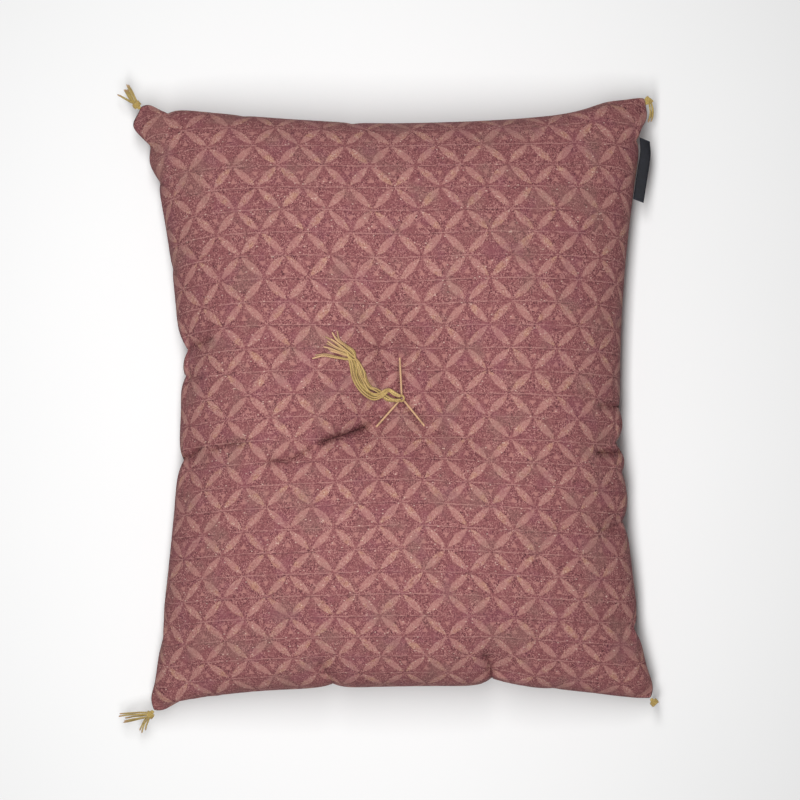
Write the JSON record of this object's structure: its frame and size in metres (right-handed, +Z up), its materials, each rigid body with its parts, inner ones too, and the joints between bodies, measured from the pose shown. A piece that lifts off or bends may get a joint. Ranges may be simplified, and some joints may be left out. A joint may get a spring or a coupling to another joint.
{
  "type": "zabuton",
  "caption": "Filled rectangular floor cushion with drawn-in sides, tied down at its middle by a thread stitch with a tassel, with thread tufts at its corners and a plain tab in a side seam.",
  "frame": {"origin": "on the floor, under the middle of the bounding box of the cushion with its tufts and tab", "axes": "+Z up out of the face with the tassel, +Y along the long sides towards the end with the tab, +X across towards the side that carries the tab"},
  "size_m": [0.5278, 0.6314, 0.1205],
  "materials": {
    "cover": "matt slubby cotton and linen weave in dusty plum, with the traditional interlocked circle pattern woven in pale rose",
    "thread": "thick twisted cotton thread in old gold, soft sheen",
    "tab": "dense woven satin tape in dark navy, plain"
  },
  "bodies": {
    "root": {"cushion": "cover", "centre_stitch": "thread", "centre_tassel": "thread", "corner_tuft_top_left": "thread", "corner_tuft_top_right": "thread", "corner_tuft_bottom_left": "thread", "corner_tuft_bottom_right": "thread", "label": "tab"}
  },
  "joints": []
}
